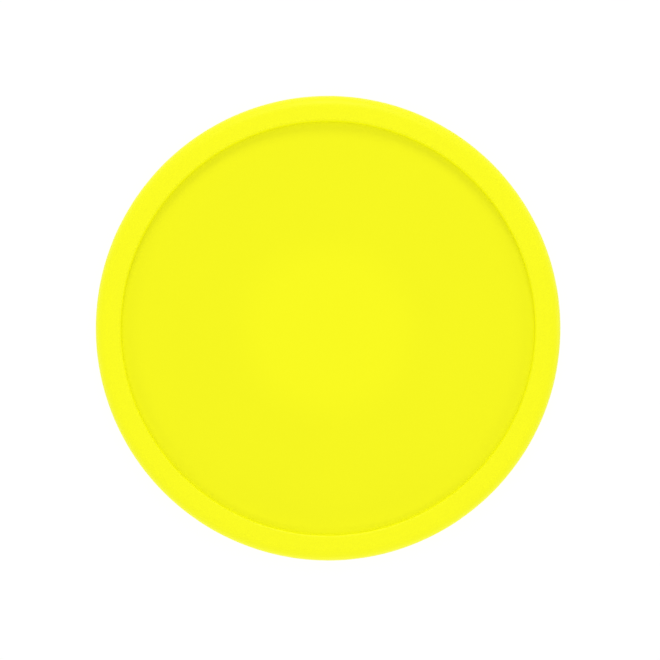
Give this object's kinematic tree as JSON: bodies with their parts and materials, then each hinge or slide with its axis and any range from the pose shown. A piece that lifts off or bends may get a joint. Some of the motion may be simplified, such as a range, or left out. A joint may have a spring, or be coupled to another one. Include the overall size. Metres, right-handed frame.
{
  "type": "juggling disc",
  "caption": "Closed-face juggling ring: flat round plate with a thick rounded soft rim that stands proud on both faces, thrown, spun and caught by hand.",
  "frame": {"origin": "centre of the disc on the plane that its back face rests on", "axes": "+Z is the disc's axis, from the back with the moulding marks to the plain front; +X runs midway between two of the rim's gates"},
  "size_m": [0.24, 0.24, 0.012],
  "materials": {
    "plate_plastic": "satin",
    "rim_rubber": "matte"
  },
  "bodies": {
    "root": {"core_plate": "plate_plastic", "soft_rim": "rim_rubber"}
  },
  "joints": []
}
